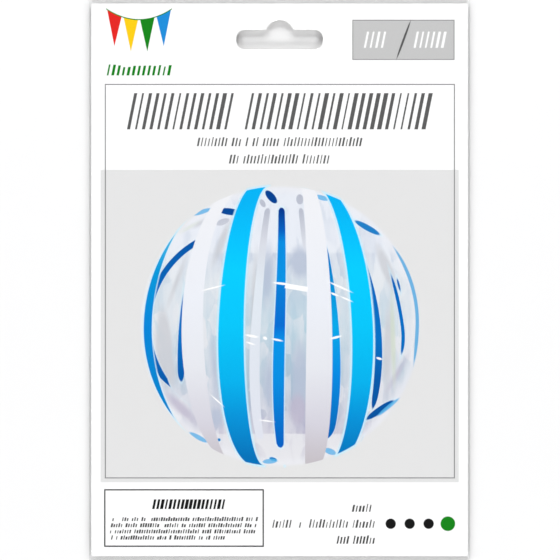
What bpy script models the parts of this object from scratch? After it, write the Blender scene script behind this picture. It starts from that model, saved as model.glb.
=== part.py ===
"""A retail packet: a printed card with a hang hole, closed in a clear film bag.

Metres, +Z up. The packet lies on its back on z = 0, centred on the origin, with its printed side up.
+X is the card's right-hand side and +Y its top, where the hang hole is.
"""

import math

import bmesh
import bpy

# The card: a white board as wide and high as shown, and as thick as 400 g board.
CARD_WIDTH = 0.139
CARD_HEIGHT = 0.204
CARD_THICKNESS = 0.0005
CARD_CORNER_RADIUS = 0.0006

# The hang hole: a straight bar with rounded ends, and a round dome over its middle.
HOLE_WIDTH = 0.032
HOLE_BAR_HEIGHT = 0.0073
HOLE_END_RADIUS = 0.0033
HOLE_BELOW_CARD_TOP = 0.0133
DOME_RADIUS = 0.0053
DOME_ABOVE_BAR = 0.00185

# The bag. Its film is drawn thicker than the real one, so that its walls are sound solids.
FILM = 0.0003
CLEARANCE = 0.0003
SIDE_MARGIN = 0.001
END_MARGIN = 0.004
END_LAND = 0.0014
SIDE_LAND = 0.0001
SHOULDER_INSET = 0.0004

CORNER_SEGMENTS = 6
DOME_SEGMENTS = 64

# Heights, from the surface that the packet lies on.
CARD_BOTTOM = FILM + CLEARANCE
CARD_TOP = CARD_BOTTOM + CARD_THICKNESS
BAG_TOP = CARD_TOP + CLEARANCE + FILM
SEALED_THICKNESS = 2 * FILM

# The hang hole's place on the packet.
BAR_CENTRE_Y = CARD_HEIGHT / 2 - HOLE_BELOW_CARD_TOP
DOME_CENTRE_Y = BAR_CENTRE_Y + DOME_ABOVE_BAR

# Outlines of the bag, as half sizes.
BAG_HALF_WIDTH = CARD_WIDTH / 2 + SIDE_MARGIN
BAG_HALF_HEIGHT = CARD_HEIGHT / 2 + END_MARGIN
CAVITY_HALF_WIDTH = CARD_WIDTH / 2 + CLEARANCE
CAVITY_HALF_HEIGHT = CARD_HEIGHT / 2 + CLEARANCE

# Colours and finishes, as (red, green, blue, alpha), roughness and metallic.
CARD_FINISH = ((0.90, 0.90, 0.90, 1.0), 0.35, 0.0)
FILM_FINISH = ((0.95, 0.97, 0.98, 0.15), 0.08, 0.0)


def clear_scene():
    for old in list(bpy.data.objects):
        bpy.data.objects.remove(old, do_unlink=True)


def new_collection(name):
    collection = bpy.data.collections.new(name)
    bpy.context.scene.collection.children.link(collection)
    return collection


def new_material(name, colour, roughness, metallic):
    material = bpy.data.materials.new(name)
    material.use_nodes = True
    material.diffuse_color = colour
    shader = material.node_tree.nodes["Principled BSDF"]
    shader.inputs["Base Color"].default_value = (*colour[:3], 1.0)
    shader.inputs["Alpha"].default_value = colour[3]
    shader.inputs["Roughness"].default_value = roughness
    shader.inputs["Metallic"].default_value = metallic
    return material


def new_object(name, shape, collection):
    """Turn a bmesh into an object of its own, and free the bmesh."""
    mesh = bpy.data.meshes.new(name)
    shape.to_mesh(mesh)
    shape.free()
    made = bpy.data.objects.new(name, mesh)
    collection.objects.link(made)
    return made


def rounded_block(name, size, corner_radius, centre, collection):
    """A block of size (x, y, z) with its four upright edges rounded."""
    shape = bmesh.new()
    bmesh.ops.create_cube(shape, size=1.0)
    bmesh.ops.scale(shape, verts=shape.verts, vec=size)
    upright = [
        edge for edge in shape.edges
        if abs(edge.verts[0].co.z - edge.verts[1].co.z) > size[2] / 2
    ]
    bmesh.ops.bevel(
        shape,
        geom=upright,
        offset=corner_radius,
        segments=CORNER_SEGMENTS,
        profile=0.5,
        affect="EDGES",
    )
    made = new_object(name, shape, collection)
    made.location = centre
    return made


def upright_cylinder(name, radius, height, centre, collection):
    shape = bmesh.new()
    bmesh.ops.create_cone(
        shape,
        cap_ends=True,
        segments=DOME_SEGMENTS,
        radius1=radius,
        radius2=radius,
        depth=height,
    )
    made = new_object(name, shape, collection)
    made.location = centre
    return made


def place_corners(corners, ring):
    half_width, half_height, z = ring
    for corner in corners:
        corner.co.x = math.copysign(half_width, corner.co.x)
        corner.co.y = math.copysign(half_height, corner.co.y)
        corner.co.z = z


def stepped_block(name, rings, collection):
    """A block whose plan is a rectangle at each ring of (half width, half height, z), lowest first."""
    shape = bmesh.new()
    bmesh.ops.create_cube(shape, size=1.0)
    low = [corner for corner in shape.verts if corner.co.z < 0]
    high = [corner for corner in shape.verts if corner.co.z > 0]
    place_corners(low, rings[0])
    place_corners(high, rings[1])
    for ring in rings[2:]:
        top = max(shape.faces, key=lambda face: face.calc_center_median().z)
        grown = bmesh.ops.extrude_face_region(shape, geom=[top])
        bmesh.ops.delete(shape, geom=[top], context="FACES_ONLY")
        raised = [item for item in grown["geom"] if isinstance(item, bmesh.types.BMVert)]
        place_corners(raised, ring)
    bmesh.ops.recalc_face_normals(shape, faces=shape.faces)
    return new_object(name, shape, collection)


def hide_cutter(cutter):
    cutter.hide_render = True
    cutter.display_type = "WIRE"


def cut(target, cutters):
    for cutter in cutters:
        boolean = target.modifiers.new(cutter.name, "BOOLEAN")
        boolean.operation = "DIFFERENCE"
        boolean.solver = "EXACT"
        boolean.object = cutter


def make_hole_cutters(collection):
    """The two shapes that punch the hang hole through everything."""
    depth = 4 * BAG_TOP
    middle = BAG_TOP / 2
    bar = rounded_block(
        "hole_bar_cutter",
        (HOLE_WIDTH, HOLE_BAR_HEIGHT, depth),
        HOLE_END_RADIUS,
        (0.0, BAR_CENTRE_Y, middle),
        collection,
    )
    dome = upright_cylinder(
        "hole_dome_cutter", DOME_RADIUS, depth, (0.0, DOME_CENTRE_Y, middle), collection
    )
    return [bar, dome]


def make_cavity_cutter(collection):
    """The space inside the bag: flat round the card, narrowing to the sealed land at each end."""
    end = BAG_HALF_HEIGHT - END_LAND - FILM
    rings = [
        (CAVITY_HALF_WIDTH, end, FILM),
        (CAVITY_HALF_WIDTH, CAVITY_HALF_HEIGHT, BAG_TOP - FILM),
    ]
    return stepped_block("bag_cavity_cutter", rings, collection)


def make_card(collection, hole_cutters):
    card = rounded_block(
        "printed_card",
        (CARD_WIDTH, CARD_HEIGHT, CARD_THICKNESS),
        CARD_CORNER_RADIUS,
        (0.0, 0.0, (CARD_BOTTOM + CARD_TOP) / 2),
        collection,
    )
    card.data.materials.append(new_material("white_card", *CARD_FINISH))
    cut(card, hole_cutters)
    return card


def make_bag(collection, hole_cutters, cavity_cutter):
    """Flat on its back. The front film stands over the card and slopes down to a sealed land at each end."""
    rings = [
        (BAG_HALF_WIDTH, BAG_HALF_HEIGHT, 0.0),
        (BAG_HALF_WIDTH, BAG_HALF_HEIGHT, SEALED_THICKNESS),
        (BAG_HALF_WIDTH - SIDE_LAND, BAG_HALF_HEIGHT - END_LAND, SEALED_THICKNESS),
        (BAG_HALF_WIDTH - SHOULDER_INSET, CAVITY_HALF_HEIGHT + FILM, BAG_TOP),
    ]
    bag = stepped_block("clear_bag", rings, collection)
    bag.data.materials.append(new_material("clear_film", *FILM_FINISH))
    cut(bag, [cavity_cutter, *hole_cutters])
    return bag


def main():
    clear_scene()
    packet = new_collection("retail_packet")
    cutters = new_collection("cutters")
    hole_cutters = make_hole_cutters(cutters)
    cavity_cutter = make_cavity_cutter(cutters)
    for cutter in [*hole_cutters, cavity_cutter]:
        hide_cutter(cutter)
    make_card(packet, hole_cutters)
    make_bag(packet, hole_cutters, cavity_cutter)


main()
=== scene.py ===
"""The looks of a retail packet: a printed card with a hang hole, in a clear film bag.

The packet lies on its back on a pale floor, print up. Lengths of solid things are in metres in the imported
model's frame, where +X is the print's right and +Y its top. The print is laid out in millimetres from the
middle of the card, because that is how a printer measures it.
"""

from __future__ import annotations

import logging
import math
from dataclasses import dataclass, field
from enum import Enum, IntEnum

import bpy
import numpy as np
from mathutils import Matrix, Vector
from mathutils.geometry import delaunay_2d_cdt

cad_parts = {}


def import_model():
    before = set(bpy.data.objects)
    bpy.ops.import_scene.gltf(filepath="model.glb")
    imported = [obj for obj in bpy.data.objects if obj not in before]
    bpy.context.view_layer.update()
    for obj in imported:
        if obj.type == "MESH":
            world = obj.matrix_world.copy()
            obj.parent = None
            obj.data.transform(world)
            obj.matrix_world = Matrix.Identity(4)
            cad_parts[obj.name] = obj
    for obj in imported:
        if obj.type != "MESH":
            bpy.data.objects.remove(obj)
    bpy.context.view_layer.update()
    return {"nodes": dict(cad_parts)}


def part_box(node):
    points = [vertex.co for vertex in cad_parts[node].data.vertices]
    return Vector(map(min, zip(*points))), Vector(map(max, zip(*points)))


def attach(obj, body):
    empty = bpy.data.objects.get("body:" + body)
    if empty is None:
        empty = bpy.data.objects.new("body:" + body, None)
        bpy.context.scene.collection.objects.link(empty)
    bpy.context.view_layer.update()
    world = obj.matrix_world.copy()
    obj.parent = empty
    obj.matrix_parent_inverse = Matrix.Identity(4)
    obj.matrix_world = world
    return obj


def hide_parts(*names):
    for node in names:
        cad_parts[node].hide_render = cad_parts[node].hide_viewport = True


LOG = logging.getLogger("retail_packet")

MILLIMETRES = 1000.0


# Colour

def ink(red: float, green: float, blue: float) -> tuple[float, float, float, float]:
    """The linear colour of an ink that reads as red, green, blue on a screen, each 0 to 255.

    Args:
        red: The red that it reads as.
        green: The green that it reads as.
        blue: The blue that it reads as.

    Returns:
        A linear colour with an alpha of 1, scaled to how much light white paper sends back.
    """
    share = np.array((red, green, blue)) / 255.0
    linear = np.where(share <= 0.04045, share / 12.92, ((share + 0.055) / 1.055) ** 2.4)
    return (*(linear * PAPER_WHITE).tolist(), 1.0)


PAPER_WHITE = 0.80


# Shader arithmetic

Operand = "Signal | float | tuple"


class Signal:
    """A shader socket that takes part in Python arithmetic. Each operator adds the node that works it out."""

    def __init__(self, graph: Graph, socket: bpy.types.NodeSocket) -> None:
        self.graph = graph
        self.socket = socket

    def __add__(self, other: Operand) -> Signal:
        """Sum of two values."""
        return self.graph.maths("ADD", self, other)

    def __radd__(self, other: Operand) -> Signal:
        """Sum with a plain number on the left."""
        return self.graph.maths("ADD", other, self)

    def __sub__(self, other: Operand) -> Signal:
        """Difference of two values."""
        return self.graph.maths("SUBTRACT", self, other)

    def __rsub__(self, other: Operand) -> Signal:
        """Difference from a plain number on the left."""
        return self.graph.maths("SUBTRACT", other, self)

    def __mul__(self, other: Operand) -> Signal:
        """Product of two values."""
        return self.graph.maths("MULTIPLY", self, other)

    def __rmul__(self, other: Operand) -> Signal:
        """Product with a plain number on the left."""
        return self.graph.maths("MULTIPLY", other, self)

    def __truediv__(self, other: Operand) -> Signal:
        """Quotient of two values."""
        return self.graph.maths("DIVIDE", self, other)

    def __abs__(self) -> Signal:
        """The value without its sign."""
        return self.graph.maths("ABSOLUTE", self)

    def __and__(self, other: Operand) -> Signal:
        """The lesser of two values: where both of two shapes are."""
        return self.graph.maths("MINIMUM", self, other)

    def __or__(self, other: Operand) -> Signal:
        """The greater of two values: where either of two shapes is."""
        return self.graph.maths("MAXIMUM", self, other)

    def dot(self, vector: tuple[float, float, float]) -> Signal:
        """The dot product of this vector with a fixed one."""
        return self.graph.vector_maths("DOT_PRODUCT", self, vector)

    def whole(self) -> Signal:
        """The whole number at or below the value."""
        return self.graph.maths("FLOOR", self)

    def part(self) -> Signal:
        """What the value has over its whole number."""
        return self.graph.maths("FRACT", self)

    def clamped(self) -> Signal:
        """The value held between 0 and 1."""
        return self.graph.maths("ADD", self, 0.0, clamp=True)


class Graph:
    """The node tree of one material or world, emptied and built up again."""

    def __init__(self, tree: bpy.types.NodeTree) -> None:
        self.tree = tree
        self.tree.nodes.clear()

    def node(self, kind: str, settings: dict | None = None, inputs: dict | None = None) -> bpy.types.Node:
        """Add a node: its settings first, then the values or links of its sockets.

        Args:
            kind: Blender's name for the type of node.
            settings: Properties of the node by name, and under "stops" a ramp's stops and how they change.
            inputs: Values or signals by socket name or number.

        Returns:
            The new node.
        """
        made = self.tree.nodes.new(kind)
        for name, value in (settings or {}).items():
            if name == "stops":
                self._set_stops(made.color_ramp, *value)
            else:
                setattr(made, name, value)
        for name, value in (inputs or {}).items():
            if isinstance(value, Signal):
                self.tree.links.new(value.socket, made.inputs[name])
            else:
                made.inputs[name].default_value = value
        return made

    @staticmethod
    def _set_stops(ramp: bpy.types.ColorRamp, stops: list[tuple[float, tuple]], change: str) -> None:
        """Give a ramp its stops, lowest first.

        Args:
            ramp: The ramp of a new node, which has two stops.
            stops: Place and colour of each stop.
            change: LINEAR for a smooth change between stops, or CONSTANT for steps.
        """
        ramp.interpolation = change
        for _ in stops[2:]:
            ramp.elements.new(1.0)
        for element, (place, colour) in zip(ramp.elements, stops):
            element.position = place
            element.color = colour

    def out(self, kind: str, settings: dict | None = None, inputs: dict | None = None,
            output: str | int = 0) -> Signal:
        """Add a node and give one of its outputs as a signal."""
        made = self.node(kind, settings, inputs)
        return Signal(self, made.outputs[output])

    def maths(self, operation: str, *values: Operand, clamp: bool = False) -> Signal:
        """One Math node on one, two or three values."""
        settings = {"operation": operation, "use_clamp": clamp}
        return self.out("ShaderNodeMath", settings, dict(enumerate(values)))

    def vector_maths(self, operation: str, *values: Operand, output: str = "Value") -> Signal:
        """One Vector Math node on one or two vectors."""
        return self.out("ShaderNodeVectorMath", {"operation": operation}, dict(enumerate(values)), output)

    def scaled(self, vector: Signal, factor: float) -> Signal:
        """A vector made longer by a factor."""
        settings = {"operation": "SCALE"}
        return self.out("ShaderNodeVectorMath", settings, {0: vector, "Scale": factor}, "Vector")

    def stretched(self, vector: Signal, factors: tuple[float, float, float]) -> Signal:
        """A vector with each of its three numbers multiplied by its own factor."""
        return self.vector_maths("MULTIPLY", vector, factors, output="Vector")

    def combined(self, x: Operand, y: Operand, z: Operand) -> Signal:
        """A vector from three numbers."""
        return self.out("ShaderNodeCombineXYZ", inputs={0: x, 1: y, 2: z})

    def split(self, vector: Signal) -> tuple[Signal, Signal, Signal]:
        """The three numbers of a vector."""
        made = self.node("ShaderNodeSeparateXYZ", inputs={0: vector})
        return tuple(Signal(self, output) for output in made.outputs)

    def mix(self, factor: Operand, low: Operand, high: Operand) -> Signal:
        """A colour between two: low at a factor of 0, high at 1."""
        settings = {"data_type": "RGBA", "clamp_factor": True}
        return self.out("ShaderNodeMix", settings, {0: factor, 6: low, 7: high}, 2)

    def vector_mix(self, factor: Operand, low: Operand, high: Operand) -> Signal:
        """A vector between two: low at a factor of 0, high at 1."""
        return self.out("ShaderNodeMix", {"data_type": "VECTOR"}, {0: factor, 4: low, 5: high}, 1)

    def ramp(self, place: Signal, stops: list[tuple[float, tuple]], change: str = "LINEAR") -> Signal:
        """A colour read from stops, lowest first, at a place from 0 to 1."""
        return self.out("ShaderNodeValToRGB", {"stops": (stops, change)}, {0: place}, "Color")

    def noise(self, vector: Signal, scale: float, detail: float = 2.0, roughness: float = 0.5) -> Signal:
        """Cloudy noise from 0 to 1, at so many clouds for each unit of the vector."""
        inputs = {"Vector": vector, "Scale": scale, "Detail": detail, "Roughness": roughness}
        return self.out("ShaderNodeTexNoise", inputs=inputs, output=0)

    def bump(self, height: Signal, strength: float, distance: float) -> Signal:
        """A normal bent by a height."""
        inputs = {"Height": height, "Strength": strength, "Distance": distance}
        return self.out("ShaderNodeBump", inputs=inputs)

    def place(self) -> Signal:
        """The point of the surface in the object's own frame."""
        return self.out("ShaderNodeTexCoord", output="Object")

    def surface(self, inputs: dict) -> None:
        """End the tree with one Principled shader and its output."""
        shader = self.node("ShaderNodeBsdfPrincipled", inputs=inputs)
        self.node("ShaderNodeOutputMaterial", inputs={"Surface": Signal(self, shader.outputs["BSDF"])})


def new_material(name: str) -> tuple[bpy.types.Material, Graph]:
    """A material with an empty node tree.

    Args:
        name: What the material is called.

    Returns:
        The material and the graph that fills it.
    """
    material = bpy.data.materials.new(name)
    material.use_nodes = True
    return material, Graph(material.node_tree)


# The print's layout, in millimetres from the middle of the card

class Tone(Enum):
    """The flat inks of the print, as they read on a screen."""

    CHARCOAL = (70, 70, 70)
    GREY = (92, 92, 92)
    BLACK = (20, 20, 20)
    WHITE = (252, 252, 252)
    GREEN = (20, 132, 24)
    RED = (226, 38, 34)
    YELLOW = (250, 205, 20)
    BLUE = (30, 140, 215)


@dataclass(frozen=True)
class Zone:
    """An upright rectangle on the card."""

    left: float
    right: float
    bottom: float
    top: float

    @property
    def centre(self) -> tuple[float, float]:
        """The middle of the rectangle."""
        return (self.left + self.right) / 2, (self.bottom + self.top) / 2

    @property
    def half(self) -> tuple[float, float]:
        """Half its width and half its height."""
        return (self.right - self.left) / 2, (self.top - self.bottom) / 2


@dataclass(frozen=True)
class StrokeRows:
    """Rows of slanting strokes that stand where a packet has lettering.

    Attributes:
        zone: The rectangle that the rows fill.
        tone: The ink.
        rows: How many rows there are.
        fill: How much of each row's height its tallest stroke takes.
        pitch: About how far it is from one stroke to the next. It is made to divide the zone's width.
        weight: Thinnest and thickest stroke, as shares of the pitch.
        shortest: The shortest stroke, as a share of the tallest. Where strokes differ, a few are left out, as
            between words.
        seed: Which set of random strokes is drawn.
    """

    zone: Zone
    tone: Tone
    rows: int = 1
    fill: float = 1.0
    pitch: float = 1.25
    weight: tuple[float, float] = (0.24, 0.6)
    shortest: float = 0.62
    seed: float = 1.0

    @property
    def cell(self) -> tuple[float, float]:
        """The width and height of one stroke's place."""
        width, height = 2 * self.zone.half[0], 2 * self.zone.half[1]
        return width / round(width / self.pitch), height / self.rows


@dataclass(frozen=True)
class Petal:
    """A stroke that is widest in its middle and runs out at both ends, as a glint does."""

    start: tuple[float, float]
    end: tuple[float, float]
    width: float


@dataclass(frozen=True)
class Edge:
    """One long edge of a pictured band, as how far right of the ball's middle it runs.

    Attributes:
        middle: At the ball's middle height.
        top: At four fifths of the radius up.
        bottom: At four fifths of the radius down.
        lean: How far it drifts to the right from the middle to the top, on a straight line.
    """

    middle: float
    top: float
    bottom: float
    lean: float = 0.0

    def terms(self) -> np.ndarray:
        """What the edge takes of the upper curve, the lower curve, the straight rise and 1."""
        curve = 1 - math.sqrt(1 - EDGE_READING**2)
        rise = (self.top - self.middle - self.lean * EDGE_READING) / curve
        fall = (self.bottom - self.middle + self.lean * EDGE_READING) / curve
        return np.array((rise, fall, self.lean, self.middle))


EDGE_READING = 0.8


@dataclass(frozen=True)
class Band:
    """A band from pole to pole of the pictured ball, between two edges.

    Attributes:
        left: Its left edge.
        right: Its right edge.
        top: The height of its upper end above the ball's middle, or None where the ball's outline ends it.
        bottom: The height of its lower end, likewise.
        top_taper: How long its upper end takes to run out.
        bottom_taper: How long its lower end takes to run out.
    """

    left: Edge
    right: Edge
    top: float | None = None
    bottom: float | None = None
    top_taper: float = 1.2
    bottom_taper: float = 1.2


@dataclass(frozen=True)
class PicturedBall:
    """The picture in the middle of the card: a clear ball with cyan and white bands, seen through."""

    centre: tuple[float, float] = (0.15, -16.95)
    radius: float = 51.45
    halo: float = 0.4

    cyan_bands: tuple[Band, ...] = (
        Band(Edge(-22.7, -16.6, -18.2, 2.0), Edge(-13.4, -9.6, -10.6, 0.4)),
        Band(Edge(26.5, 20.3, 23.4, -2.0), Edge(34.3, 25.5, 28.9, -2.2)),
    )
    white_bands: tuple[Band, ...] = (
        Band(Edge(-36.3, -27.0, -28.0, 1.0), Edge(-28.4, -21.9, -23.2, -1.1)),
        Band(Edge(9.8, 9.1, 9.3, 0.8), Edge(19.2, 15.5, 17.7, -1.4)),
    )
    left_limb: Band = Band(Edge(-50.3, -31.8, -32.1, 1.1), Edge(-47.3, -33.4, -33.6, 1.0), 35.4, -33.4, 5.0, 3.0)
    right_limb: Band = Band(Edge(50.0, 28.9, 41.2, 1.4), Edge(51.3, 31.2, 37.9, 1.0), 28.6, -14.0, 12.0, 9.0)
    far_bands: tuple[Band, ...] = (
        Band(Edge(17.4, 9.4, 15.2, -4.0), Edge(21.7, 14.2, 19.5, -4.4), 35.0, -41.6, 10.0, 5.0),
    )
    deep_bands: tuple[Band, ...] = (
        Band(Edge(34.8, 22.0, 30.6, -2.8), Edge(37.2, 21.9, 30.6, -5.5), 28.0, -30.6, 6.0, 5.0),
        Band(Edge(44.5, 29.6, 16.4, -7.0), Edge(45.8, 31.0, 17.6, -7.0), 18.6, -10.4, 9.0, 4.5),
        Band(Edge(-37.5, -35.3, -35.3, 2.7), Edge(-35.0, -32.8, -32.8, 2.7), 10.5, -20.6, 26.0, 4.5),
    )
    heart_band: Band = Band(
        Edge(-2.1, -0.6, -1.6, 2.8), Edge(1.9, 1.8, 1.4, 1.0), 43.6, -45.0, 1.6, 1.8
    )
    ghost_bands: tuple[Band, ...] = (
        Band(Edge(-10.6, -5.9, -8.8, 4.3), Edge(-7.1, -3.8, -6.0, 2.7), 43.4, -41.9, 1.6, 1.6),
        Band(Edge(9.6, 7.0, 8.0, -2.0), Edge(12.0, 8.8, 9.0, -3.0), 43.4, 28.0, 1.6, 12.0),
    )


# Drawing with signed distances

class Sketch:
    """Flat shapes as distances in millimetres: above 0 inside the shape, below 0 outside it."""

    EDGE_WIDTH = 0.12

    def __init__(self, graph: Graph, position: Signal) -> None:
        self.graph = graph
        self.position = position
        self.x, self.y, _ = graph.split(position)
        self.flat = graph.stretched(position, (1.0, 1.0, 0.0))

    def mask(self, inside: Signal, softness: float = EDGE_WIDTH) -> Signal:
        """How much of a shape's ink is here, from 0 to 1, with an edge as wide as the softness."""
        return self.graph.maths("MULTIPLY_ADD", inside, 1.0 / softness, 0.5, clamp=True)

    def box(self, zone: Zone) -> Signal:
        """The inside of a rectangle: the lesser of how far each pair of sides is."""
        across = zone.half[0] - abs(self.x - zone.centre[0])
        along = zone.half[1] - abs(self.y - zone.centre[1])
        return across & along

    def box_line(self, zone: Zone, width: float) -> Signal:
        """A line of the given width along a rectangle's sides."""
        return width / 2 - abs(self.box(zone))

    def disc(self, centre: tuple[float, float], radius: float) -> Signal:
        """The inside of a circle."""
        return radius - self.graph.vector_maths("DISTANCE", self.flat, (*centre, 0.0))

    def own_frame(self, centre: tuple[float, float], angle: float, size: tuple[float, float]) -> Signal:
        """The point as a shape sees it that is moved to centre, turned by angle and has half sizes of 1."""
        inputs = {
            "Vector": self.flat,
            "Location": (*centre, 0.0),
            "Rotation": (0.0, 0.0, angle),
            "Scale": (*size, 1.0),
        }
        return self.graph.out("ShaderNodeMapping", {"vector_type": "TEXTURE"}, inputs)

    def petal(self, petal: Petal) -> Signal:
        """The inside of a long ellipse from one point to another."""
        run = petal.end[0] - petal.start[0], petal.end[1] - petal.start[1]
        centre = (petal.start[0] + petal.end[0]) / 2, (petal.start[1] + petal.end[1]) / 2
        size = math.hypot(*run) / 2, petal.width / 2
        seen = self.own_frame(centre, math.atan2(run[1], run[0]), size)
        return (1.0 - self.graph.vector_maths("LENGTH", seen)) * size[1]

    def petals(self, petals: tuple[Petal, ...]) -> Signal:
        """Several petals as one shape."""
        inside = self.petal(petals[0])
        for petal in petals[1:]:
            inside = inside | self.petal(petal)
        return inside

    def bar(self, bar: Petal) -> Signal:
        """The inside of a straight bar with square ends: the lesser of how far each pair of sides is."""
        run = bar.end[0] - bar.start[0], bar.end[1] - bar.start[1]
        centre = (bar.start[0] + bar.end[0]) / 2, (bar.start[1] + bar.end[1]) / 2
        seen = self.own_frame(centre, math.atan2(run[1], run[0]), (1.0, 1.0))
        along, across, _ = self.graph.split(self.graph.vector_maths("ABSOLUTE", seen, output="Vector"))
        return (math.hypot(*run) / 2 - along) & (bar.width / 2 - across)


class Lettering:
    """Every row of slanting strokes on the card, drawn at once.

    All strokes lean alike, so the card is sheared until they stand upright. There each zone is a plain
    rectangle, and the zone that a point is in says where its strokes start, how large they are and what ink
    they take. Then one stroke is worked out at that point.
    """

    LEAN = 0.2
    GAP_SHARE = 0.37
    FAR = 1000.0

    def __init__(self, graph: Graph, sketch: Sketch) -> None:
        self.graph = graph
        self.x = sketch.x - sketch.y * self.LEAN
        self.y = sketch.y
        self.upright = graph.combined(self.x, self.y, 0.0)

    def within(self, zone: Zone) -> Signal:
        """1 in the sheared zone and 0 outside it: where the point's share of its width and height has no whole."""
        corner = (zone.left - zone.centre[1] * self.LEAN, zone.bottom, 0.0)
        size = (2 * zone.half[0], 2 * zone.half[1], 1.0)
        inputs = {"Vector": self.upright, "Location": corner, "Scale": size}
        share = self.graph.out("ShaderNodeMapping", {"vector_type": "TEXTURE"}, inputs)
        whole = self.graph.vector_maths("FLOOR", share, output="Vector")
        return self.graph.maths("LESS_THAN", self.graph.vector_maths("LENGTH", whole), 0.5)

    def draw(self, all_rows: tuple[StrokeRows, ...]) -> tuple[Signal, Signal]:
        """Draw the strokes.

        The row and the place in it are whole numbers, which seed the stroke there. In its own place a stroke
        is the part no further than half its width from the middle and no higher than its own height. It
        stands on its row's foot.

        Args:
            all_rows: The rows of every zone.

        Returns:
            The inside of the strokes as a distance in millimetres, and their ink.
        """
        origin, cell, weight = (0.0, 0.0, 0.0), (1.0, 1.0, 1.0), (-1.0, 0.0, 1.0)
        tone = (0.0, 0.0, 0.0, 1.0)
        for rows in all_rows:
            here = self.within(rows.zone)
            pitch, pitch_down = rows.cell
            thin, thick = rows.weight
            corner = (rows.zone.left - rows.zone.centre[1] * self.LEAN, rows.zone.top, rows.seed)
            origin = self.graph.vector_mix(here, origin, corner)
            cell = self.graph.vector_mix(here, cell, (pitch, pitch_down, pitch_down * rows.fill))
            weight = self.graph.vector_mix(here, weight, (thin * pitch, (thick - thin) * pitch, rows.shortest))
            tone = self.graph.mix(here, tone, ink(*rows.tone.value))
        left, top, seed = self.graph.split(origin)
        pitch, pitch_down, tallest = self.graph.split(cell)
        thin, spread, shortest = self.graph.split(weight)
        along, down = (self.x - left) / pitch, (top - self.y) / pitch_down
        places = {"Vector": self.graph.combined(along.whole(), down.whole(), seed)}
        chance = self.graph.out("ShaderNodeTexWhiteNoise", {"noise_dimensions": "3D"}, places, "Color")
        for_width, for_height, for_gap = self.graph.split(chance)
        half_width = (for_width * spread + thin) * 0.5
        half_height = (1.0 - (1.0 - shortest) * for_height) * tallest * 0.5
        beside = (along.part() - 0.5) * pitch
        from_foot = tallest * 0.5 - (down.part() - 0.5) * pitch_down
        kept = (for_gap - (1.0 - shortest) * self.GAP_SHARE) * self.FAR
        return (half_width - abs(beside)) & (half_height - abs(from_foot - half_height)) & kept, tone


# Finishes

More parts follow.
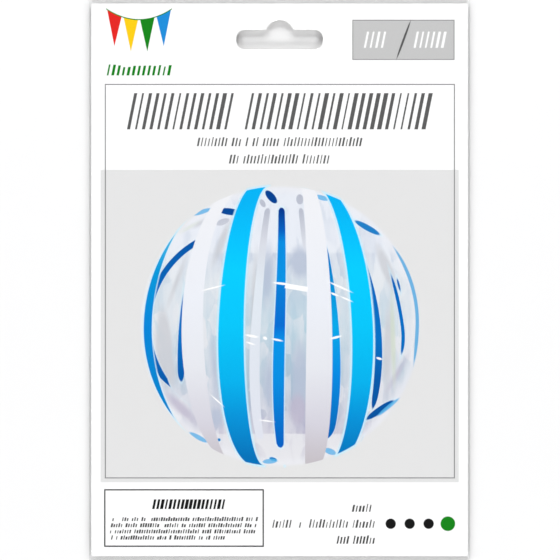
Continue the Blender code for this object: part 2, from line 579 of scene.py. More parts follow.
@dataclass(frozen=True)
class PrintedCardFinish:
    """Smooth coated board: the print on its face, white fibre at its cut edge, plain board at its back."""

    card_top: float
    ball: PicturedBall = PicturedBall()

    def material(self) -> bpy.types.Material:
        """Build the material.

        Returns:
            The finished material.
        """
        material, graph = new_material("printed_card_board")
        place = graph.place()
        sketch = Sketch(graph, graph.scaled(place, MILLIMETRES))
        printed, cover = self.print_layers(graph, sketch)
        face = sketch.mask(place.dot((0.0, 0.0, MILLIMETRES)) - (self.card_top * MILLIMETRES - 0.04), 0.02)
        fibre = graph.noise(graph.scaled(place, MILLIMETRES), 2.2, 4.0, 0.6)
        board = graph.mix(fibre, ink(236, 234, 229), ink(250, 249, 246))
        grain = graph.noise(graph.scaled(place, MILLIMETRES), 5.0, 3.0, 0.6)
        roughness = 0.5 - cover * 0.08 + (grain - 0.5) * 0.1
        graph.surface({
            "Base Color": graph.mix(face, board, printed),
            "Roughness": roughness + (1.0 - face) * 0.3,
            "Specular IOR Level": 0.12,
            "Normal": graph.bump(grain, 0.06, 0.00002),
        })
        return material

    def print_layers(self, graph: Graph, sketch: Sketch) -> tuple[Signal, Signal]:
        """The print on the card's face, laid down in order as a press does.

        Args:
            graph: The material's nodes.
            sketch: The card's face as a drawing.

        Returns:
            The printed colour, and how much ink there is, from 0 to 1.
        """
        tooth = graph.noise(sketch.position, 1.6, 2.0)
        colour = graph.mix(tooth, ink(253, 253, 253), ink(255, 255, 255))
        panel = sketch.mask(sketch.box(PANEL))
        colour = graph.mix(panel, colour, graph.mix(tooth, ink(226, 226, 226), ink(228, 228, 228)))
        colour, ball = BallPainter(graph, sketch, self.ball).paint(colour)
        for inside, tone in self.flat_layers(sketch):
            colour = graph.mix(sketch.mask(inside), colour, ink(*tone))
        colour = self.bunting(graph, sketch, colour)
        strokes, tone = Lettering(graph, sketch).draw(TEXT_ROWS)
        return graph.mix(sketch.mask(strokes), colour, tone), panel | ball

    def flat_layers(self, sketch: Sketch) -> list[tuple[Signal, tuple[int, int, int]]]:
        """Every flat ink outside the picture, as its shape and its colour, lowest first."""
        layers = [
            (sketch.box_line(FRAME_LINE, 0.36), (126, 126, 128)),
            (sketch.box(SIZE_BOX), (197, 197, 197)),
            (sketch.box_line(SIZE_BOX, 0.3), (135, 135, 135)),
            (sketch.petal(SIZE_SLASH), (90, 90, 90)),
            (sketch.box_line(NOTICE_BOX, 0.48), (20, 20, 20)),
        ]
        for centre, radius, tone in COLOUR_DOTS:
            layers.append((sketch.disc(centre, radius), tone.value))
        return layers

    def bunting(self, graph: Graph, sketch: Sketch, colour: Signal) -> Signal:
        """Print a string of pennants: a sagging thread, with one triangle in each of its equal lengths.

        Args:
            graph: The material's nodes.
            sketch: The card's face as a drawing.
            colour: What is printed so far.

        Returns:
            The colour with the string on it.
        """
        x = sketch.x - BUNTING.centre[0]
        sag = x * x * (BUNTING_SAG / BUNTING.half[0] ** 2)
        below = (BUNTING.top - BUNTING_SAG) + sag - sketch.y
        within = BUNTING.half[0] - abs(x)
        thread = (0.2 - abs(below)) & within
        count = len(PENNANT_TONES)
        pitch = 2 * BUNTING.half[0] / count
        place = x / pitch + count / 2
        drop = BUNTING.top - BUNTING_SAG - BUNTING.bottom
        half_width = PENNANT_WIDTH * pitch / 2
        pennant = (drop - below) * (half_width / drop) - abs((place.part() - 0.5) * pitch)
        stops = [(number / count, ink(*tone.value)) for number, tone in enumerate(PENNANT_TONES)]
        colour = graph.mix(sketch.mask(pennant & below & within), colour, graph.ramp(place / count, stops, "CONSTANT"))
        return graph.mix(sketch.mask(thread), colour, ink(*Tone.GREEN.value))


PANEL = Zone(-66.05, 66.1, -74.7, 40.6)
FRAME_LINE = Zone(-64.3, 64.5, -73.1, 72.1)
SIZE_BOX = Zone(27.0, 64.4, 81.3, 95.8)
SIZE_SLASH = Petal((43.2, 81.6), (48.3, 95.5), 0.8)
NOTICE_BOX = Zone(-64.5, -6.05, -98.3, -77.5)
BUNTING = Zone(-64.0, -39.7, 84.0, 100.0)
BUNTING_SAG = 4.0
PENNANT_WIDTH = 0.88
PENNANT_TONES = (Tone.RED, Tone.YELLOW, Tone.GREEN, Tone.BLUE)
COLOUR_DOTS = (
    ((41.0, -90.0), 1.9, Tone.BLACK),
    ((48.0, -90.0), 1.9, Tone.BLACK),
    ((55.0, -90.0), 1.9, Tone.BLACK),
    ((62.1, -90.0), 2.7, Tone.GREEN),
)
HEADLINE_WEIGHT = (0.2, 0.6)
SUBTITLE_WEIGHT = (0.26, 0.56)
NOTICE_WEIGHT = (0.4, 0.8)
TEXT_ROWS = (
    StrokeRows(Zone(-55.8, -17.3, 55.5, 68.9), Tone.GREY, 1, 1.0, 2.75, HEADLINE_WEIGHT, 1.0, 3.0),
    StrokeRows(Zone(-12.5, 55.8, 55.5, 68.9), Tone.GREY, 1, 1.0, 2.75, HEADLINE_WEIGHT, 1.0, 4.0),
    StrokeRows(Zone(-30.5, 30.6, 49.3, 52.7), Tone.GREY, 1, 1.0, 1.27, SUBTITLE_WEIGHT, 0.76, 5.0),
    StrokeRows(Zone(-18.7, 18.6, 42.9, 46.4), Tone.GREY, 1, 1.0, 1.27, SUBTITLE_WEIGHT, 0.76, 6.0),
    StrokeRows(Zone(-64.0, -39.7, 75.4, 79.6), Tone.GREEN, 1, 1.0, 1.9, (0.3, 0.62), 0.7, 7.0),
    StrokeRows(Zone(31.0, 39.4, 85.6, 91.6), Tone.WHITE, 1, 1.0, 2.1, (0.3, 0.5), 1.0, 8.0),
    StrokeRows(Zone(49.4, 61.6, 85.6, 91.6), Tone.WHITE, 1, 1.0, 2.0, (0.3, 0.5), 1.0, 9.0),
    StrokeRows(Zone(-47.0, -20.0, -84.6, -81.0), Tone.BLACK, 1, 1.0, 1.5, NOTICE_WEIGHT, 1.0, 10.0),
    StrokeRows(Zone(-62.3, -8.4, -93.9, -87.1), Tone.CHARCOAL, 3, 0.7, 0.9, NOTICE_WEIGHT, 0.66, 11.0),
    StrokeRows(Zone(-62.3, -20.1, -96.2, -93.9), Tone.CHARCOAL, 1, 0.7, 0.9, NOTICE_WEIGHT, 0.66, 12.0),
    StrokeRows(Zone(26.7, 35.4, -85.6, -82.4), Tone.CHARCOAL, seed=13.0),
    StrokeRows(Zone(-2.8, 35.4, -91.5, -88.3), Tone.CHARCOAL, seed=14.0),
    StrokeRows(Zone(21.0, 35.4, -97.4, -94.2), Tone.CHARCOAL, seed=15.0),
)


class BallPainter:
    """Paints the clear ball: its film, the bands on its far side, those on its near side, and the glints."""

    def __init__(self, graph: Graph, sketch: Sketch, ball: PicturedBall) -> None:
        self.graph = graph
        self.ball = ball
        moved = graph.vector_maths("SUBTRACT", sketch.position, (*ball.centre, 0.0), output="Vector")
        self.sketch = Sketch(graph, moved)
        self.height = self.sketch.y / ball.radius
        curve = 1.0 - graph.maths("SQRT", (1.0 - self.height * self.height) | 0.0)
        upper = graph.maths("GREATER_THAN", self.height, 0.0) * curve
        self.shape = graph.combined(upper, curve - upper, self.height)
        self.rise = self.height * 0.5 + 0.5

    def across(self, terms: np.ndarray) -> Signal:
        """How far right of the ball's middle a line is here, from its terms: a sum of the curves it takes."""
        return self.shape.dot(tuple(terms[:3].tolist())) + float(terms[3])

    def band(self, band: Band) -> Signal:
        """The inside of a band: no further from its middle line than half its width, which its tapers narrow.

        The point's share of the half width and its share of the taper are the two sides of a right triangle,
        and the band ends where the long side of that triangle reaches 1.
        """
        left, right = band.left.terms(), band.right.terms()
        middle, half = self.across((left + right) / 2), self.across((right - left) / 2)
        off = self.sketch.x - middle
        if band.top is None:
            return half - abs(off)
        half = half | 0.02
        over = self.sketch.y / band.top_taper - (band.top / band.top_taper - 1.0)
        under = (band.bottom / band.bottom_taper + 1.0) - self.sketch.y / band.bottom_taper
        share = self.graph.combined(off / half, over | under | 0.0, 0.0)
        return (1.0 - self.graph.vector_maths("LENGTH", share)) * half

    def bands(self, bands: tuple[Band, ...]) -> Signal:
        """Several bands as one shape."""
        inside = self.band(bands[0])
        for band in bands[1:]:
            inside = inside | self.band(band)
        return inside

    def tones(self, stops: list[tuple[float, tuple[int, int, int]]]) -> Signal:
        """A colour that changes with height, from stops of height, -1 to 1, and the ink there."""
        return self.graph.ramp(self.rise, [(place / 2 + 0.5, ink(*tone)) for place, tone in stops])

    def paint(self, ground: Signal) -> tuple[Signal, Signal]:
        """Paint the ball over a ground.

        Args:
            ground: The colour of the panel behind.

        Returns:
            The painted colour, and how much of the ball is here, from 0 to 1.
        """
        sketch = self.sketch
        outline = sketch.disc((0.0, -0.2), self.ball.radius)
        ball = sketch.mask(outline, 1.2)
        colour = self.graph.mix(ball, ground, self.film(outline))
        colour = self.far_side(colour, outline)
        colour = self.near_side(colour, outline)
        return self.glints(colour), ball

    def film(self, outline: Signal) -> Signal:
        """The clear film: pale, with a shaded belly, long soft creases and a lighter rim."""
        graph, sketch = self.graph, self.sketch
        pale = self.tones([
            (-0.95, (228, 228, 232)), (-0.5, (222, 223, 230)), (0.3, (227, 231, 235)), (0.6, (230, 234, 242)),
        ])
        deep = self.tones([
            (-0.78, (182, 178, 200)), (-0.4, (166, 188, 206)), (0.0, (180, 206, 220)), (0.5, (194, 204, 220)),
        ])
        window = sketch.mask(26.9 - sketch.y, 0.8) & sketch.mask(sketch.y + 39.9, 0.5)
        spread = sketch.x / 34.0
        middle = (1.0 - spread * spread) | 0.32
        creases = graph.noise(graph.stretched(sketch.position, (0.30, 0.045, 0.0)), 1.0, 3.0, 0.62)
        facets = graph.noise(graph.stretched(sketch.position, (0.11, 0.07, 0.0)), 1.0, 4.0, 0.55)
        bent = graph.vector_maths("ADD", graph.stretched(sketch.position, (0.22, 0.10, 0.0)),
                                  graph.stretched(graph.combined(creases, facets, 0.0), (1.1, 0.8, 0.0)), output="Vector")
        cells = graph.out("ShaderNodeTexVoronoi", inputs={"Vector": bent, "Scale": 1.0}, output="Color")
        folds = cells.dot((0.6, 0.0, 0.0)) - 0.3
        shade = (middle * window * 0.7 + (creases - 0.5) * 1.3 + (facets - 0.5) * 0.9 + folds).clamped()
        colour = graph.mix(shade, pale, deep)
        for tone, softness, petals in FILM_SHADES:
            colour = graph.mix(sketch.mask(sketch.petals(petals), softness) * 0.8, colour, ink(*tone))
        rim = sketch.mask(2.2 - outline, 2.4)
        return graph.mix(rim * 0.7, colour, ink(234, 235, 240))

    def far_side(self, colour: Signal, outline: Signal) -> Signal:
        """The bands on the far side, seen through the film: deep and mid blue, and pale ghosts of white ones."""
        graph, sketch = self.graph, self.sketch
        within = outline + 0.3
        ghosts = self.bands(self.ball.ghost_bands) | sketch.petals(GHOST_PETALS)
        colour = self.lay(colour, ghosts & within, self.tones(
            [(-0.8, (222, 225, 235)), (0.3, (222, 230, 238)), (0.6, (214, 217, 226)), (0.82, (186, 190, 204))]
        ), 0.0)
        colour = self.lay(colour, self.bands(self.ball.far_bands) & within, self.tones(
            [(-0.8, (0, 98, 180)), (-0.68, (0, 110, 190)), (-0.35, (0, 136, 222)), (0.0, (0, 166, 230)), (0.6, (0, 110, 190))]
        ), 0.15)
        deep = self.bands(self.ball.deep_bands) | self.far_arc() | sketch.petals(DEEP_PETALS)
        colour = self.lay(colour, deep & within, self.tones(
            [(-0.7, (0, 80, 154)), (-0.4, (0, 87, 166)), (-0.1, (0, 110, 192)), (0.2, (0, 104, 188)), (0.9, (0, 64, 142))]
        ), 0.15)
        colour = self.lay(colour, sketch.petals(MID_PETALS) & within, ink(30, 125, 195), 0.15)
        colour = self.lay(colour, sketch.petals(PALE_PETALS) & within, ink(84, 176, 228), 0.0, 0.85)
        return self.lay(colour, self.band(self.ball.heart_band) & within, self.tones([
            (-0.85, (0, 96, 192)), (-0.38, (0, 140, 222)), (-0.12, (0, 146, 228)), (0.0, (0, 108, 208)),
            (0.28, (0, 124, 210)), (0.32, (0, 144, 224)), (0.6, (0, 138, 220)), (0.68, (0, 96, 190)),
            (0.85, (0, 46, 130)),
        ]))

    def far_arc(self) -> Signal:
        """The far band that shows as an arc by the left rim: part of a ring, which thins to a point below."""
        half = ((self.sketch.y + 23.4) / 4.0).clamped() * 1.25 - 0.2
        return (half - abs(self.sketch.disc((-13.2, 0.0), 35.4))) & (-29.5 - self.sketch.x)

    def near_side(self, colour: Signal, outline: Signal) -> Signal:
        """The bands on the near side: cyan by both rims, then white, then the two broad cyan ones."""
        sketch, within = self.sketch, outline + 0.2
        colour = self.lay(colour, self.bands(self.ball.white_bands) & within, self.tones([
            (-0.97, (196, 190, 196)), (-0.7, (212, 210, 220)), (-0.3, (228, 230, 236)), (0.2, (234, 237, 244)),
            (0.9, (238, 239, 243)),
        ]), 0.0)
        colour = self.lay(colour, self.band(self.ball.right_limb) & within, ink(60, 165, 220), 0.0, 0.85)
        colour = self.lay(colour, self.band(self.ball.left_limb) & within, self.tones([
            (-0.6, (0, 130, 200)), (0.0, (0, 132, 214)), (0.4, (0, 150, 214)), (0.65, (60, 178, 226)),
        ]))
        cyan = self.bands(self.ball.cyan_bands) & within
        colour = self.graph.mix(sketch.mask(cyan + 0.6, 0.9) * 0.6, colour, ink(160, 226, 246))
        return self.lay(colour, cyan, self.tones([
            (-0.95, (0, 112, 182)), (-0.65, (0, 146, 214)), (-0.4, (0, 176, 234)), (0.0, (0, 196, 246)),
            (0.4, (0, 203, 255)), (0.9, (0, 178, 242)),
        ]), 0.6)

    def lay(self, colour: Signal, inside: Signal, tone: Operand, halo: float | None = None,
            strength: float = 1.0) -> Signal:
        """Lay one ink over what is there, with a thin pale light round it.

        Args:
            colour: What is there.
            inside: The shape, as a distance.
            tone: The ink.
            halo: How wide the light round it is, or None for the ball's own width.
            strength: How much of the ground the ink hides.

        Returns:
            The colour with the ink on it.
        """
        halo = self.ball.halo if halo is None else halo
        if halo > 0:
            light = self.sketch.mask(inside + halo, 0.5)
            colour = self.graph.mix(light * 0.75, colour, ink(206, 238, 252))
        mask = self.sketch.mask(inside, 0.2)
        return self.graph.mix(mask * strength if strength < 1 else mask, colour, tone)

    def glints(self, colour: Signal) -> Signal:
        """White glints where the film catches the light."""
        inside = self.sketch.petals(GLINTS) | self.sketch.bar(WIDE_GLINT)
        return self.graph.mix(self.sketch.mask(inside, 0.25), colour, ink(255, 255, 255))


GHOST_PETALS = (
    Petal((7.2, 48.5), (7.4, 44.8), 2.6),
    Petal((-23.5, 37.4), (-18.8, 39.2), 2.2),
    Petal((-7.2, 46.6), (-5.6, 43.8), 1.8),
)
DEEP_PETALS = (
    Petal((-5.2, 49.8), (-1.3, 45.3), 2.7),
    Petal((-22.6, 42.6), (-14.6, 41.6), 2.5),
    Petal((43.2, 17.4), (44.4, 12.8), 0.8),
    Petal((31.8, -34.6), (41.9, -27.6), 2.4),
)
MID_PETALS = (
    Petal((27.7, 38.7), (36.8, 33.6), 2.1),
    Petal((-3.9, -48.8), (-1.2, -49.6), 1.3),
    Petal((-23.1, -42.1), (-21.9, -42.1), 1.1),
)
PALE_PETALS = (
    Petal((13.0, 47.9), (18.0, 46.5), 1.8),
    Petal((-32.1, 40.9), (-25.3, 43.2), 1.6),
    Petal((-33.4, -39.4), (-26.8, -43.0), 1.7),
    Petal((-6.4, -50.2), (-1.0, -49.8), 1.8),
    Petal((16.4, -45.6), (20.6, -47.2), 2.2),
    Petal((36.0, -33.3), (43.9, -26.8), 1.3),
)
FILM_SHADES = (
    ((180, 190, 210), 2.2, (
        Petal((-4.4, 28.0), (-5.2, 9.5), 3.7),
        Petal((7.4, 29.1), (7.4, 18.0), 7.4),
        Petal((-3.7, -13.4), (-3.7, -30.3), 4.4),
        Petal((7.4, -7.1), (7.4, -29.2), 5.9),
        Petal((-23.6, -30.3), (-23.6, -37.7), 5.2),
        Petal((-24.7, -7.1), (-23.6, -25.5), 2.2),
    )),
    ((200, 202, 208), 1.2, (
        Petal((-18.8, 37.9), (-24.4, 23.5), 2.6),
        Petal((-8.9, 23.5), (-10.3, -7.1), 2.2),
        Petal((-35.4, 23.5), (-40.6, 9.5), 1.5),
        Petal((-45.0, -1.5), (-39.9, -21.5), 5.2),
        Petal((36.2, 29.1), (42.4, 13.2), 3.7),
        Petal((-43.5, 6.0), (-41.5, -18.0), 5.0),
        Petal((40.2, 6.0), (39.4, -22.0), 3.0),
        Petal((-31.7, 36.5), (-28.0, 39.0), 1.5),
    )),
    ((188, 182, 202), 1.6, (
        Petal((6.6, -25.5), (6.6, -36.6), 5.9),
        Petal((-42.4, -25.5), (-31.7, -34.8), 3.7),
        Petal((45.8, -13.4), (40.6, -22.2), 1.5),
    )),
    ((206, 216, 200), 0.8, (
        Petal((41.3, 9.5), (42.1, -19.3), 1.7),
        Petal((-38.0, 33.9), (-31.0, 37.9), 1.3),
    )),
)
WIDE_GLINT = Petal((1.9, 14.8), (10.2, 13.4), 1.8)
GLINTS = (
    Petal((-28.6, 13.0), (-21.4, 14.8), 0.6),
    Petal((-2.4, 15.9), (3.6, 15.2), 0.8),
    Petal((18.4, 16.0), (26.0, 12.6), 0.7),
    Petal((18.6, 12.2), (21.6, 11.0), 0.7),
    Petal((22.4, 10.8), (26.4, 9.0), 0.6),
    Petal((-12.6, -3.4), (-8.2, -4.2), 0.9),
    Petal((-6.2, -4.2), (-4.8, -5.0), 1.1),
    Petal((-3.0, -4.8), (0.8, -5.6), 0.7),
    Petal((-12.4, -6.0), (-9.4, -7.0), 0.6),
    Petal((18.6, -4.8), (22.6, -3.8), 0.8),
    Petal((35.6, -11.8), (37.6, -12.4), 0.8),
    Petal((-25.2, -25.8), (-21.2, -29.4), 0.5),
    Petal((-7.4, -34.8), (-2.6, -35.4), 0.5),
)


@dataclass(frozen=True)
class FilmFinish:
    """Clear film: it sends back a few percent of the light as a mirror does, and lets the rest through.

    Attributes:
        name: What the material is called.
        see: How much each of the film's two faces hides of what is behind.
        roughness: How much the film blurs what it mirrors.
        creases: How strongly its finest creases show.
    """

    name: str
    see: float
    roughness: float
    creases: float

    def material(self) -> bpy.types.Material:
        """Build the material: a mirror at a low alpha, with long fine creases and rubbed, duller patches."""
        material, graph = new_material(self.name)
        place = graph.scaled(graph.place(), MILLIMETRES)
        creases = graph.noise(graph.stretched(place, (0.22, 0.05, 0.2)), 1.0, 4.0, 0.6)
        rubbed = graph.noise(place, 0.09, 3.0, 0.6)
        graph.surface({
            "Base Color": graph.mix(rubbed, ink(250, 252, 253), ink(255, 255, 255)),
            "Metallic": 1.0,
            "Roughness": self.roughness + rubbed * 0.06,
            "Alpha": self.see,
            "Normal": graph.bump(creases, self.creases, 0.0004),
        })
        return material


class FilmArea(IntEnum):
    """The stretches of the bag's film, each with its own finish. The value is its material's place."""

    CLEAR = 0
    WELD = 1
    GLUE = 2


class Run(Enum):
    """The five runs of the bag's strip of film, in order from the end of the flap to the mouth."""

    FLAP = 0
    TOP_FOLD = 1
    FRONT = 2
    BOTTOM_FOLD = 3
    BACK = 4


# Shapes worked out as arrays

def smooth(share: np.ndarray) -> np.ndarray:
    """A soft step: 0 below 0, 1 above 1, and three squares less two cubes of the share between."""
    held = np.clip(share, 0.0, 1.0)
    return held * held * (3 - 2 * held)


def blend(low: np.ndarray, high: np.ndarray, share: np.ndarray) -> np.ndarray:
    """Between two values by a share from 0 to 1."""
    return low + (high - low) * share


@dataclass(frozen=True)
class HangHole:
    """The hang hole: a bar with rounded ends, and a dome over its middle, in metres."""

    bar_width: float = 0.032
    bar_height: float = 0.0073
    end_radius: float = 0.0033
    below_card_top: float = 0.0133
    dome_radius: float = 0.0053
    dome_above_bar: float = 0.00185
    spacing: float = 0.0005

    def outline(self, centre_y: float) -> np.ndarray:
        """The hole's edge, anticlockwise: the dome's arc, then the arc of each corner, evenly divided.

        Args:
            centre_y: Where the middle of the bar is.

        Returns:
            Points along the edge, two numbers each.
        """
        half_width, half_height = self.bar_width / 2, self.bar_height / 2
        shoulder = half_height - self.dome_above_bar
        lift = math.asin(shoulder / self.dome_radius)
        inset_x, inset_y = half_width - self.end_radius, half_height - self.end_radius
        arcs = [(0.0, self.dome_above_bar, self.dome_radius, lift, math.pi - lift)]
        for quarter, (side_x, side_y) in enumerate(((-1, 1), (-1, -1), (1, -1), (1, 1)), start=1):
            start = quarter * math.pi / 2
            arcs.append((side_x * inset_x, side_y * inset_y, self.end_radius, start, start + math.pi / 2))
        corners = []
        for x, y, radius, start, end in arcs:
            turn = np.linspace(start, end, 24)
            corners.append(np.stack([x + radius * np.cos(turn), y + radius * np.sin(turn)], axis=1))
        path = np.concatenate([*corners, corners[0][:1]])
        length = np.concatenate([[0.0], np.cumsum(np.hypot(*np.diff(path, axis=0).T))])
        steps = np.linspace(0.0, length[-1], int(length[-1] / self.spacing), endpoint=False)
        even = [np.interp(steps, length, path[:, axis]) for axis in (0, 1)]
        return np.stack(even, axis=1) + (0.0, centre_y)

    def inside(self, x: np.ndarray, y: np.ndarray, centre_y: float, margin: float = 0.0) -> np.ndarray:
        """Whether points are in the hole, made larger by a margin: in the rounded bar or in the dome."""
        up = y - centre_y
        beyond_x = np.maximum(np.abs(x) - (self.bar_width / 2 - self.end_radius), 0.0)
        beyond_y = np.maximum(np.abs(up) - (self.bar_height / 2 - self.end_radius), 0.0)
        in_bar = np.hypot(beyond_x, beyond_y) < self.end_radius + margin
        in_dome = np.hypot(x, up - self.dome_above_bar) < self.dome_radius + margin
        return in_bar | in_dome


@dataclass
class FilmBag:
    """The clear bag: one strip of film, folded over at both ends and welded along both sides.

    The strip starts at the end of the flap under the packet's top, runs up over the top fold, down the front,
    round the bottom fold and up the back to the mouth. Its surface is a function of two lengths: x across
    the bag, and s along the strip.

    Attributes:
        node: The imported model's node that it stands for.
        card: The node that lies in it.
        side_inset: How far the film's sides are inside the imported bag's, which has thicker film.
        film: How thick the film is.
        floor_gap: How far the lowest run's middle is above the floor.
        end_height: How far apart the runs are at the folded ends.
        flap_length: How far the flap reaches down the back.
        flap_inset: How much nearer to the middle the flap's sides are than the bag's.
        mouth_inset: How far below the card's top edge the back's mouth is.
        glue_width: How wide the strip of glue at the flap's end is.
        weld_width: How wide each side's weld is.
        weld_height: How far the welds are above the floor.
        over_card: The least gap between the film and the card's face.
        slack: How far the front stands off the card where it is loosest.
        cell: The grid's spacing on the flat.
        hole: The hang hole that is punched through every layer.
    """

    node: str = "clear_bag"
    card: str = "printed_card"
    side_inset: float = 0.0002
    film: float = 0.00005
    floor_gap: float = 0.00004
    end_height: float = 0.00028
    flap_length: float = 0.036
    flap_inset: float = 0.0013
    mouth_inset: float = 0.0008
    glue_width: float = 0.009
    weld_width: float = 0.0006
    weld_height: float = 0.00030
    over_card: float = 0.00007
    slack: float = 0.00042
    cell: float = 0.002
    hole: HangHole = field(default_factory=HangHole)

    def __post_init__(self) -> None:
        """Read the bag's and the card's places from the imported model, and lay out the strip."""
        low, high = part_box(self.node)
        self.half_width, self.half_height = high.x - self.side_inset, high.y
        card_low, card_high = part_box(self.card)
        self.card_half_width, self.card_half_height = card_high.x, card_high.y
        self.card_bottom, self.card_top = card_low.z, card_high.z
        self.hole_y = self.card_half_height - self.hole.below_card_top
        self.fold_y = self.half_height - self.end_height / 2
        fold = math.pi * self.end_height / 2
        back = self.fold_y + self.card_half_height - self.mouth_inset
        lengths = (self.flap_length, fold, 2 * self.fold_y, fold, back)
        self.starts = dict(zip(Run, np.concatenate([[0.0], np.cumsum(lengths)[:-1]]).tolist()))
        self.ends = dict(zip(Run, np.cumsum(lengths).tolist()))

    def grid_lines(self) -> tuple[np.ndarray, np.ndarray]:
        """Where the grid's lines are: close together at the welds, folds and card edges, wide between.

        Returns:
            The places across the bag, and those along the strip.
        """
        side = self.half_width - np.array((0.0, 0.00025, 0.0005, 0.00065, 0.0008, 0.00095, 0.0011, 0.0014, 0.002, 0.003))
        inner = side.min()
        wide = np.linspace(-inner, inner, int(2 * inner / self.cell) + 1)
        across = np.unique(np.round(np.concatenate([-side, wide, side]), 7))
        pieces = []
        for run in Run:
            start, end = self.starts[run], self.ends[run]
            if run in (Run.TOP_FOLD, Run.BOTTOM_FOLD):
                pieces.append(np.linspace(start, end, 9))
                continue
            near = np.array((0.0, 0.0003, 0.0008, 0.0016, 0.0024, 0.0032, 0.0038, 0.0042, 0.0048))
            inner_start, inner_end = start + near.max(), end - near.max()
            steps = int((inner_end - inner_start) / self.cell) + 1
            pieces.append(np.concatenate([start + near, np.linspace(inner_start, inner_end, steps), end - near]))
        along = np.unique(np.round(np.concatenate(pieces), 7))
        return across, along

    def strip_of_hole(self, run: Run) -> float:
        """Where along the strip the middle of the hang hole is, on a run that it is punched through."""
        return {
            Run.FLAP: self.ends[Run.FLAP] - (self.fold_y - self.hole_y),
            Run.FRONT: self.starts[Run.FRONT] + (self.fold_y - self.hole_y),
            Run.BACK: self.starts[Run.BACK] + (self.fold_y + self.hole_y),
        }[run]

    def flat_triangles(self) -> tuple[np.ndarray, np.ndarray, np.ndarray]:
        """The strip laid flat, divided into triangles that follow the grid and the edges of its three holes.

        Returns:
            Each point's place across, its place along, and three point numbers for each triangle.
        """
        across, along = self.grid_lines()
        x, s = (grid.ravel() for grid in np.meshgrid(across, along))
        keep = np.ones(x.shape, bool)
        outlines = []
        links = []
        count = 0
        for run in (Run.FLAP, Run.FRONT, Run.BACK):
            middle = self.strip_of_hole(run)
            upside = -1.0 if run is Run.FRONT else 1.0
            keep &= ~self.hole.inside(x, (s - middle) * upside, 0.0, margin=self.hole.spacing / 2)
            edge = self.hole.outline(0.0) * (1.0, upside) + (0.0, middle)
            numbers = np.arange(len(edge)) + count
            links.append(np.stack([numbers, np.roll(numbers, -1)], axis=1))
            outlines.append(edge)
            count += len(edge)
        points = np.concatenate([*outlines, np.stack([x[keep], s[keep]], axis=1)])
        edges = np.concatenate(links).tolist()
        made = delaunay_2d_cdt([Vector(point) for point in points.tolist()], edges, [], 0, 1e-9)
        flat = np.array([tuple(point) for point in made[0]])
        faces = np.array([face for face in made[2] if len(face) == 3])
        centre = flat[faces].mean(axis=1)
        inside = np.zeros(len(faces), bool)
        for run in (Run.FLAP, Run.FRONT, Run.BACK):
            upside = -1.0 if run is Run.FRONT else 1.0
            inside |= self.hole.inside(centre[:, 0], (centre[:, 1] - self.strip_of_hole(run)) * upside, 0.0)
        return flat[:, 0], flat[:, 1], faces[~inside]

    def swell(self, x: np.ndarray, y: np.ndarray) -> np.ndarray:
        """How far the loose film stands off: long waves, held down at the card's edges and at the hang hole.

        The waves are a product of slow sines that lean into each other. A dome, 1 less the square of the
        share of each half size, holds them down at the edges.
        """
        across, up = x / self.card_half_width, y / self.card_half_height
        held = np.clip(1 - across**2, 0, 1) ** 0.6 * np.clip(1 - up**2, 0, 1) ** 0.6
        long_wave = np.sin(5.1 * across + 1.3 * np.sin(2.3 * up + 0.6) + 0.4)
        cross_wave = np.sin(4.3 * up + 1.9 * np.sin(1.7 * across) - 0.9)
        fine_wave = np.sin(13.0 * across + 3.2 * up) * np.sin(9.0 * up - 4.0 * across + 1.0)
        waves = 0.5 + 0.26 * long_wave + 0.18 * cross_wave + 0.06 * fine_wave
        from_hole = np.hypot(np.maximum(np.abs(x) - self.hole.bar_width / 2, 0.0), y - self.hole_y)
        at_hole = smooth((from_hole - 0.004) / 0.016)
        return self.slack * held * waves * at_hole

    def front_height(self, x: np.ndarray, y: np.ndarray) -> np.ndarray:
        """The front's height: just over the card with its waves, then down to the fold past the card's ends."""
        over = self.card_top + self.film / 2 + self.over_card + self.swell(x, y)
        reach = self.fold_y - self.card_half_height
        past = smooth((np.abs(y) - self.card_half_height - 0.0002) / (reach - 0.0002))
        pucker = 0.00006 * np.sin(x * 420.0 + 2.0 * np.sin(x * 130.0)) * np.sin(np.pi * past)
        return blend(over, self.floor_gap + self.end_height, past) + pucker

    def back_height(self, x: np.ndarray, y: np.ndarray) -> np.ndarray:
        """The back's height: low waves between the floor and the card, flat over the flap and at both ends."""
        across, up = x / self.card_half_width, y / self.card_half_height
        waves = 0.5 + 0.5 * np.sin(4.0 * across + 2.0 * np.sin(3.0 * up)) * np.cos(5.0 * up + 0.7)
        inner = np.clip(1 - up**2, 0, 1) ** 0.5
        low = self.floor_gap + 0.00011 * smooth((y - self.fold_y + self.flap_length + 0.004) / 0.004)
        return low + 0.00018 * waves * inner

